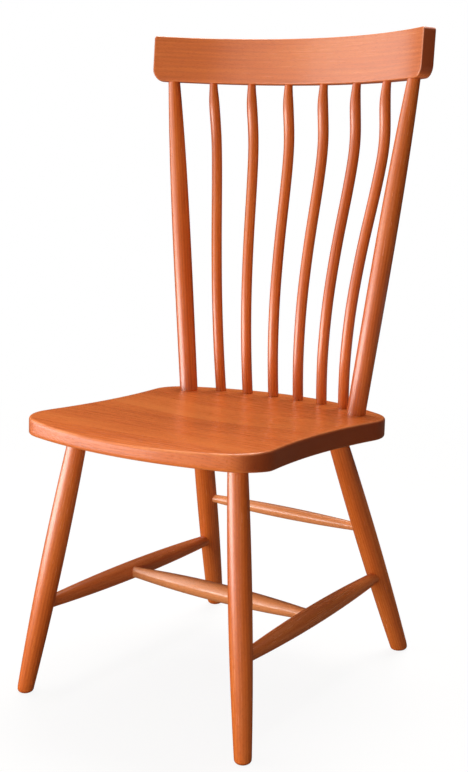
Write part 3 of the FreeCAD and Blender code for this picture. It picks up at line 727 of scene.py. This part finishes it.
# Points at reach times (cosine, sine) of the turn, then spread evenly by the way walked round the rim.
fine = np.stack([reaches * np.cos(fine_turns), reaches * np.sin(fine_turns)], -1)
steps = np.linalg.norm(np.roll(fine, -1, axis=0) - fine, axis=1)
walked = np.concatenate([[0], np.cumsum(steps)])
even = np.linspace(0, walked[-1], OUTLINE_POINTS, endpoint=False)
closed = np.concatenate([fine, fine[:1]])
outline = np.stack([np.interp(even, walked, closed[:, axis]) for axis in (0, 1)], -1)
run = unit(np.roll(outline, -1, axis=0) - np.roll(outline, 1, axis=0))
inwards = np.stack([-run[:, 1], run[:, 0]], -1)
print("outline %.0f mm long" % (walked[-1] * 1e3))

# %% [markdown]
# ## The saddled seat
#
# The top is hollowed for the sitter in one shallow dish, and its front edge is rolled down so that it doesn't
# press the thighs. It could be sculpted, but sums give the same smooth form each time. Both are heights taken
# off a flat top: the dish is a bump that fades to nothing at an ellipse, and the roll fades behind the front
# edge and towards the corners. The rings run from the middle of the underside out to its rim, round the edge,
# and in again over the top.

# %% Shape the top and the underside
SADDLE_DEPTH = 0.007
SADDLE_HALF_WIDTH = 0.195
SADDLE_HALF_LENGTH = 0.165
SADDLE_BEHIND_FRONT = 0.262
ROLL_DROP = 0.009
ROLL_LENGTH = 0.060
ROLL_HALF_WIDTH = 0.229
UNDER_LIFT = 0.0035
UNDER_LENGTH = 0.030

front_x = np.where(outline[:, 1] < 0, outline[:, 0], 0)
front = outline[np.argmin(front_x) : np.argmax(front_x) + 1]
front_middle = np.interp(0, front[:, 0], front[:, 1])


def behind_front(x, y):
    """How far a place is behind the front edge, straight back."""
    return y - np.interp(x, front[:, 0], front[:, 1])


def top_height(x, y):
    """The flat top, less the dish and the rolled front edge: the dish is depth times (1 - r^2)^2 inside the
    ellipse r = 1, and the roll is drop times (1 - distance / length)^2 times (1 - (x / width)^2)."""
    behind_middle = y - front_middle - SADDLE_BEHIND_FRONT
    spread = (x / SADDLE_HALF_WIDTH) ** 2 + (behind_middle / SADDLE_HALF_LENGTH) ** 2
    dish = SADDLE_DEPTH * np.clip(1 - spread, 0, 1) ** 2
    near = np.clip(1 - behind_front(x, y) / ROLL_LENGTH, 0, 1) ** 2
    central = np.clip(1 - (x / ROLL_HALF_WIDTH) ** 2, 0, 1)
    return thickness - dish - ROLL_DROP * near * central


def under_height(x, y):
    """The flat underside, lifted near the front edge by lift times (1 - distance / length)^2."""
    return UNDER_LIFT * np.clip(1 - behind_front(x, y) / UNDER_LENGTH, 0, 1) ** 2


print("front edge %.0f mm long" % (1e3 * np.linalg.norm(np.diff(front, axis=0), axis=1).sum()))

# %% Lay rings round the plank
TOP_ROUND = 0.0045
UNDER_ROUND = 0.0045
TOP_RINGS = 84
UNDER_RINGS = 30
UNDER_CROWDING = 0.7  # below 1, the underside's rings crowd towards its rim
SIDE_RINGS = 4
UNDER_ARC_RINGS = 5
TOP_ARC_RINGS = 8
UNDER_RUB = 0.5  # the lower edge is worn half as much as the upper


def inset(distance):
    """The outline moved inwards by a distance."""
    return (outline + inwards * distance).T


def plank_rings():
    """Rings over the underside, round the edge and over the top, and how worn each is as an edge."""
    rings = []
    x, y = inset(UNDER_ROUND)
    low = under_height(x, y)
    for share in np.linspace(0, 1, UNDER_RINGS + 1)[1:] ** UNDER_CROWDING:
        rings.append((x * share, y * share, under_height(x * share, y * share), 0.0))
    for angle in np.linspace(0, np.pi / 2, UNDER_ARC_RINGS + 1)[1:]:
        height = low + UNDER_ROUND * (1 - np.cos(angle))
        rings.append((*inset(UNDER_ROUND * (1 - np.sin(angle))), height, UNDER_RUB * np.sin(2 * angle)))
    x, y = inset(TOP_ROUND)
    side_low, side_high = low + UNDER_ROUND, top_height(x, y) - TOP_ROUND
    for share in np.linspace(0, 1, SIDE_RINGS + 2)[1:-1]:
        rings.append((*inset(0.0), side_low * (1 - share) + side_high * share, 0.0))
    for angle in np.linspace(0, np.pi / 2, TOP_ARC_RINGS):
        height = side_high + TOP_ROUND * np.sin(angle)
        rings.append((*inset(TOP_ROUND * (1 - np.cos(angle))), height, np.sin(2 * angle)))
    for share in np.linspace(1, 0, TOP_RINGS + 1)[1:-1]:
        rings.append((x * share, y * share, top_height(x * share, y * share), 0.0))
    x, y, z, rub = zip(*rings)
    return on_plank(np.array(x), np.array(y), np.array(z)), np.array(rub)


rings, rub = plank_rings()
print(len(rings), "rings round the plank")

# %% Make the seat
shell = closed_shell(rings)
from_middle = shell[0] - plank_middle
grain = np.stack([from_middle @ SIDEWAYS, from_middle @ plank_back, from_middle @ plank_up], -1)
worn = np.concatenate([np.repeat(rub, OUTLINE_POINTS), [0, 0]])
make_piece("seat", shell, grain, SIDEWAYS, "seat_wood", edge=worn)

# %% [markdown]
# ## Posts
#
# The posts carry the back. Each is stout low down and tapers to the crest rail. Its tenon goes right through
# the seat and is spread by a wedge from below, so its sawn end shows on the underside as a disc of end grain,
# a hair proud of the plank, with the wedge's pale stripe across it. The hidden length of the tenon is left
# out, and the disc is a short piece of its own, because nobody sees what joins them.

# %% Make the posts
TENON_RADIUS = 0.011
TENON_PROUD = 0.0003
TENON_LENGTH = 0.015  # as much of it as lies near the underside
TENON_ROUND = 0.0006
INTO_CREST = 0.004

posts = {}
for side in ("left", "right"):
    name = "back_post_" + side
    post = Bar(name, towards_start=DOWN)
    make_bar(name, post, bar_rings(post, post.low, post.high + INTO_CREST), "post_wood")
    sawn_at = plank_middle - plank_up * TENON_PROUD
    end, skin_low = sawn_rings(post, sawn_at, -plank_up, TENON_ROUND, TENON_RADIUS)
    tenon = bar_rings(post, skin_low, skin_low.mean() + TENON_LENGTH, TENON_RADIUS)
    make_bar("post_tenon_" + side, post, np.concatenate([end, tenon[1:]]), "post_wood")
    posts[side] = (post, end[0].mean(0))

# %% Make the posts' wedges
WEDGE_HALF_THICK = 0.0015
WEDGE_HALF_WIDE = 0.0098
WEDGE_PROUD = 0.00025
WEDGE_SHOWN = 0.004
WEDGE_EASE = 0.8  # share of the outline, and of the standing proud, at the eased end
WEDGE_SQUARENESS = 8  # power of the superellipse

# A superellipse: |x / half thick|^power + |y / half wide|^power = 1.
cosine, sine = np.cos(around_turns)[:, None], np.sin(around_turns)[:, None]
size = (np.abs(cosine) ** WEDGE_SQUARENESS + np.abs(sine) ** WEDGE_SQUARENESS) ** (1 / WEDGE_SQUARENESS)
wedge_outline = WEDGE_HALF_THICK * cosine / size * SIDEWAYS + WEDGE_HALF_WIDE * sine / size * plank_back
wedge_rings = ((WEDGE_EASE, -WEDGE_PROUD), (1.0, -WEDGE_PROUD * WEDGE_EASE), (1.0, WEDGE_SHOWN))
for side, (post, sole_middle) in posts.items():
    rings = [sole_middle + wedge_outline * share + plank_up * height for share, height in wedge_rings]
    make_bar("post_wedge_" + side, post, np.array(rings), "wedge_wood")

# %% [markdown]
# ## The crest rail's arc
#
# The crest rail is one board bent to an arc and leaned back. A few rays find it: two on the front face, one
# above the other, give the lean; one at a known place to the side gives the arc's radius from how far the
# face has come forward there; one from behind gives the thickness. Its height and length come the same way.
# Rays all over the face would do too, but an arc needs no more than this and has no facets.

# %% Measure the crest rail
CREST_LOOK = 0.15  # to one side, where the arc is measured
LEAN_LOOK = 0.02  # above and below the middle
CREST_EASE = 0.0019  # radius of the board's eased edges
BACKWARDS = np.array([0.0, 1.0, 0.0])

crest_tree = search_tree("crest_rail")
crest_low, crest_high = (np.array(corner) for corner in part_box("crest_rail"))


def crest_face(x, z, way=BACKWARDS):
    """The point of the crest rail's face that a ray along y meets at this x and z."""
    start = np.array([x, -FAR * way[1], z])
    return start + way * reach(crest_tree, start, way)


crest_z = (crest_low[2] + crest_high[2]) / 2
crest_up = unit(crest_face(0, crest_z + LEAN_LOOK) - crest_face(0, crest_z - LEAN_LOOK))
crest_back = np.cross(crest_up, SIDEWAYS)
face_middle = crest_face(0, crest_z)
aside = crest_face(CREST_LOOK, crest_z)
aside = aside - crest_up * ((aside - face_middle) @ crest_up)
forward = -(aside - face_middle) @ crest_back
crest_radius = (CREST_LOOK**2 + forward**2) / (2 * forward)
back_face = crest_face(0, crest_z, -BACKWARDS)
crest_thickness = (back_face - face_middle) @ crest_back
print("crest rail: arc %.1f mm, %.1f mm thick" % (crest_radius * 1e3, crest_thickness * 1e3))

# %% Measure its height and length
board_middle = face_middle + crest_back * crest_thickness / 2
upper = out_to_skin(crest_tree, board_middle, crest_up)
lower = out_to_skin(crest_tree, board_middle, -crest_up)
crest_height = upper + lower
crest_corner = face_middle - crest_up * lower
outer_radius = crest_radius + crest_thickness
widest = crest_high[0] / outer_radius
eased_away = CREST_EASE * (widest + math.sqrt(1 - widest**2) - 1)  # what the eased edge takes off the corner
half_angle = math.asin(widest + eased_away / outer_radius)
middle_radius = crest_radius + crest_thickness / 2
half_length = half_angle * middle_radius


def on_crest(round_arc, up, behind):
    """Points from places round the arc, up the board and behind its front face: across is size times sin a,
    and back is size times cos a, less the arc's radius, where a is the place over the middle radius."""
    angle = round_arc / middle_radius
    size = crest_radius + behind
    sideways = (size * np.sin(angle))[..., None] * SIDEWAYS
    backwards = (size * np.cos(angle) - crest_radius)[..., None] * crest_back
    return crest_corner + sideways + backwards + up[..., None] * crest_up


print("%.1f mm high, %.0f mm round the arc" % (crest_height * 1e3, half_length * 2e3))

# %% [markdown]
# ## The crest rail
#
# Seen from the front the board is a long rectangle whose lower corners are well rounded and whose upper ones
# are only eased. A bevelled and bent box would do, but here the flat board's places stay as its grain. The
# outline is laid out flat, as four sides that each have a fixed number of points. Rings start on the middle
# line behind, spread to the outline, go round the eased edge to the front, and close on the middle line
# again, where the upper and lower points meet and are welded.

# %% Lay out the board
LOWER_CORNER = 0.019
UPPER_CORNER = 0.005
LONG_POINTS = 180
END_POINTS = 36

long_share = np.linspace(-1, 1, LONG_POINTS + 2)[1:-1]


def quarter_circle(centre_x, centre_y, radius, start):
    """Half of an end's points, turning left from a start angle: centre + radius (cosine, sine)."""
    angle = np.radians(start) + np.linspace(0, np.pi / 2, END_POINTS // 2)
    return np.stack([centre_x + radius * np.cos(angle), centre_y + radius * np.sin(angle)], -1)


def crest_outline(ease):
    """The outline moved in by an ease: lower side, right end, upper side and left end, as places round the
    arc and up the board."""
    end = np.concatenate([
        quarter_circle(half_length - LOWER_CORNER, LOWER_CORNER, LOWER_CORNER - ease, -90),
        quarter_circle(half_length - UPPER_CORNER, crest_height - UPPER_CORNER, UPPER_CORNER - ease, 0),
    ])
    share = long_share[:, None]
    below = np.concatenate([share * end[0, 0], np.full_like(share, ease)], 1)
    above = np.concatenate([-share * end[-1, 0], np.full_like(share, crest_height - ease)], 1)
    return np.concatenate([below, end, above, end[::-1] * (-1, 1)])


half_height = crest_height / 2
line = np.concatenate([long_share, np.ones(END_POINTS), -long_share, -np.ones(END_POINTS)])
middle_line = np.stack([line * (half_length - half_height), np.full_like(line, half_height)], -1)
print(len(middle_line), "points round the board")

# %% Lay rings over the board
FACE_RINGS = 12
EASE_RINGS = 6


def crest_rings():
    """Rings from the back's middle line to half way round the edge, and then the same rings mirrored to the
    front's: each one's flat outline, how far it lies behind the front face, and how worn it is."""
    spread = crest_outline(CREST_EASE) - middle_line
    half = [(middle_line + spread * share, 0.0, 0.0) for share in np.linspace(0, 1, FACE_RINGS)]
    for angle in np.linspace(0, np.pi / 2, EASE_RINGS)[1:]:
        flat = crest_outline(CREST_EASE * (1 - np.sin(angle)))
        half.append((flat, CREST_EASE * (1 - np.cos(angle)), np.sin(2 * angle)))
    flat, depth, rub = (np.array(values) for values in zip(*half))
    halves = ((flat, flat), (crest_thickness - depth, depth), (rub, rub))
    return [np.concatenate([back, front[::-1]]) for back, front in halves]


flat, behind, rub = crest_rings()
print(len(flat), "rings over the board")

# %% Make the crest rail
WELD = 1e-6

count, around = flat.shape[:2]
round_arc, up = flat[..., 0], flat[..., 1]
behind = np.broadcast_to(behind[:, None], (count, around))
shell = (on_crest(round_arc, up, behind).reshape(-1, 3), ring_faces(count, around).tolist())
grain = np.stack([round_arc, up, behind], -1).reshape(-1, 3)
angle = round_arc.reshape(-1, 1) / middle_radius
grain_way = np.cos(angle) * SIDEWAYS - np.sin(angle) * crest_back
crest = make_piece("crest_rail", shell, grain, grain_way, "crest_wood", edge=np.repeat(rub, around))

board = bmesh.new()
board.from_mesh(crest.data)
bmesh.ops.remove_doubles(board, verts=board.verts, dist=WELD)
board.to_mesh(crest.data)
board.free()
print(len(crest.data.vertices), "points after the weld")

# %% [markdown]
# ## Pegs
#
# A peg from behind locks each post's tenon in the crest rail. It is sawn off and sanded, and stands a hair
# proud of the board as a small disc of end grain. A painted dot would do from far away, but a sawn bar with
# a rounded rim catches the light as the real one does.

# %% Make the pegs
PEG_PROUD = 0.0004
PEG_ROUND = 0.0008

for side in ("left", "right"):
    name = "crest_pin_" + side
    peg = Bar(name, towards_start=BACKWARDS)
    head, skin_low = sawn_rings(peg, peg.start - peg.way * PEG_PROUD, -peg.way, PEG_ROUND)
    make_bar(name, peg, np.concatenate([head, bar_rings(peg, skin_low, peg.high)[1:]]), "peg_wood")

# %% [markdown]
# ## Floor and light
#
# The photograph is a studio picture on white. The floor is a large pale plane. Near the chair the camera sees
# it as paint that takes a soft shadow, mixed with a plain white glow, and further out as the glow alone, so
# that no horizon shows. To light on its way between surfaces it is dim and warm, because in the photograph
# little comes up from below. The world is white where it is seen or mirrored, and lights the chair softly.
#
# White all round would lie on the lacquer as a grey veil. As photographers do with shiny things, a dark
# curtain hangs round the chair, out of the camera's sight, and is open only to the left of the picture. What
# comes in there runs down the left of every turned piece as a pale line, and the right-hand sides turn brown.

# %% Helpers for the stage
def mirrored(tree):
    """1 for a ray that comes to the camera by a mirror or through glass, and else 0."""
    rays = add(tree, "ShaderNodeLightPath").outputs
    return calculate(tree, "MAXIMUM", rays["Is Glossy Ray"], rays["Is Transmission Ray"])


def staged(name, points, faces):
    """A sheet that isn't part of the chair, and the bare tree of its material."""
    mesh = bpy.data.meshes.new(name)
    mesh.from_pydata(np.asarray(points, float).tolist(), [], faces)
    sheet = bpy.data.objects.new(name, mesh)
    bpy.context.scene.collection.objects.link(sheet)
    material, tree, _ = new_material(name)
    mesh.materials.append(material)
    tree.nodes.clear()
    return sheet, tree


# %% Make the floor
FLOOR_HALF = 12.0
FLOOR_SEEN = (0.95, 0.95, 0.95, 1.0)
FLOOR_FELT = (0.20, 0.12, 0.07, 1.0)  # by light between surfaces
GLOW_NEAR = 0.9
NEAR = 0.5  # metres from the middle, where the floor starts to turn to plain white
BEYOND = 2.2
MIRROR_BEYOND = 2.8  # where a mirrored floor has turned to plain white, past the curtain
PLAIN_WHITE = (1.0, 1.0, 1.0, 1.0)

square = np.array([(-1, -1, 0), (1, -1, 0), (1, 1, 0), (-1, 1, 0)]) * FLOOR_HALF
floor, tree = staged("pale_floor", square, [(0, 1, 2, 3)])
seen = add(tree, "ShaderNodeLightPath").outputs["Is Camera Ray"]
place = add(tree, "ShaderNodeTexCoord").outputs["Object"]
distance = add(tree, "ShaderNodeVectorMath", {0: place}, operation="LENGTH").outputs["Value"]
matt = add(tree, "ShaderNodeBsdfDiffuse", {"Color": blend(tree, seen, FLOOR_FELT, FLOOR_SEEN)}).outputs[0]
glow = add(tree, "ShaderNodeEmission", {"Color": PLAIN_WHITE, "Strength": 1.0}).outputs[0]
near_glow = calculate(tree, "MULTIPLY", seen, scaled(tree, distance, NEAR, BEYOND, GLOW_NEAR))
far_glow = calculate(tree, "MULTIPLY", mirrored(tree), scaled(tree, distance, BEYOND, MIRROR_BEYOND))
amount = calculate(tree, "MAXIMUM", near_glow, far_glow)
mixed = add(tree, "ShaderNodeMixShader", {0: amount, 1: matt, 2: glow}).outputs[0]
add(tree, "ShaderNodeOutputMaterial", {"Surface": mixed})
print(floor.name, "is", 2 * FLOOR_HALF, "m wide")

# %% Hang the curtain
CURTAIN_TURNS = (36, -235)  # degrees, where it starts and ends
CURTAIN_DISTANCE = 2.7
CURTAIN_HEIGHT = 3.2
CURTAIN_POLES = 24
CURTAIN_CLOTH = (0.04, 0.03, 0.03, 1.0)


def round_chair(turn, distance, height):
    """A place round the chair: turn is its angle to the left of the camera, as seen from the chair."""
    angle = CAMERA_AZIMUTH - math.radians(90 + turn)
    return np.array([distance * math.cos(angle), distance * math.sin(angle), height])


turns = np.linspace(*CURTAIN_TURNS, CURTAIN_POLES)
hung = [round_chair(turn, CURTAIN_DISTANCE, height) for height in (0.0, CURTAIN_HEIGHT) for turn in turns]
widths = [(at, at + 1, at + 1 + CURTAIN_POLES, at + CURTAIN_POLES) for at in range(CURTAIN_POLES - 1)]
curtain, tree = staged("dark_curtain", hung, widths)
curtain.visible_camera = False
dark = add(tree, "ShaderNodeBsdfDiffuse", {"Color": CURTAIN_CLOTH}).outputs[0]
add(tree, "ShaderNodeOutputMaterial", {"Surface": dark})
print("curtain open over", 360 + CURTAIN_TURNS[1] - CURTAIN_TURNS[0], "degrees")

# %% [markdown]
# ## Lamps
#
# One soft lamp high behind the chair and two along the open side make the shine and the pale lines. Two low
# ones and a high one in front only fill the shadows: they aren't mirrored in the lacquer, so they leave no
# stripes of their own. Points of light would throw hard shadows, so all are broad rectangles.

# %% Light the studio
AIM = np.array([0.0, 0.0, 0.5])  # the point that the lamps face
WARM_WHITE = (1.0, 0.98, 0.95)


def soft_light(name, turn, distance, height, size, strength, in_mirrors=True):
    """A soft light that faces the chair. Size is its width and height, and strength its own brightness."""
    place = round_chair(turn, distance, height)
    lamp = bpy.data.lights.new(name, "AREA")
    lamp.shape = "RECTANGLE"
    lamp.size, lamp.size_y = size
    lamp.energy = strength * math.pi * size[0] * size[1]
    lamp.color = WARM_WHITE
    lamp_object = bpy.data.objects.new(name, lamp)
    lamp_object.location = place
    lamp_object.rotation_euler = Vector(AIM - place).to_track_quat("-Z", "Y").to_euler()
    lamp_object.visible_glossy = in_mirrors
    bpy.context.scene.collection.objects.link(lamp_object)
    print(name, "at", [round(value, 2) for value in place.tolist()])


soft_light("light_above_behind", 200, 1.0, 3.6, (2.0, 1.6), 12.0)
soft_light("light_on_the_left", 102, 2.6, 1.4, (3.0, 1.7), 1.4)
soft_light("light_low_left", 80, 2.3, 0.35, (2.2, 0.6), 6.8)
soft_light("light_low_front", 35, 2.4, 0.3, (1.4, 0.5), 10.0, in_mirrors=False)
soft_light("light_high_front", 8, 3.0, 2.2, (1.6, 1.4), 6.0, in_mirrors=False)
soft_light("light_by_the_camera", 5, 2.6, 0.7, (1.6, 1.0), 3.6, in_mirrors=False)

# %% Surround it with the world
WORLD_LIGHT = 0.4
WORLD_WARMTH = (1.0, 0.84, 0.72, 1.0)

world = bpy.data.worlds.new("studio")
world.use_nodes = True
bpy.context.scene.world = world
tree = world.node_tree
tree.nodes.clear()
seen = add(tree, "ShaderNodeLightPath").outputs["Is Camera Ray"]
shown = calculate(tree, "MAXIMUM", seen, mirrored(tree))
strength = scaled(tree, shown, 0.0, 1.0, WORLD_LIGHT, 1.0)
colour = blend(tree, shown, WORLD_WARMTH, PLAIN_WHITE)
sky = add(tree, "ShaderNodeBackground", {"Color": colour, "Strength": strength}).outputs[0]
add(tree, "ShaderNodeOutputWorld", {"Surface": sky})

bpy.context.scene.view_settings.view_transform = "Standard"
print("the world lights the chair at", WORLD_LIGHT)
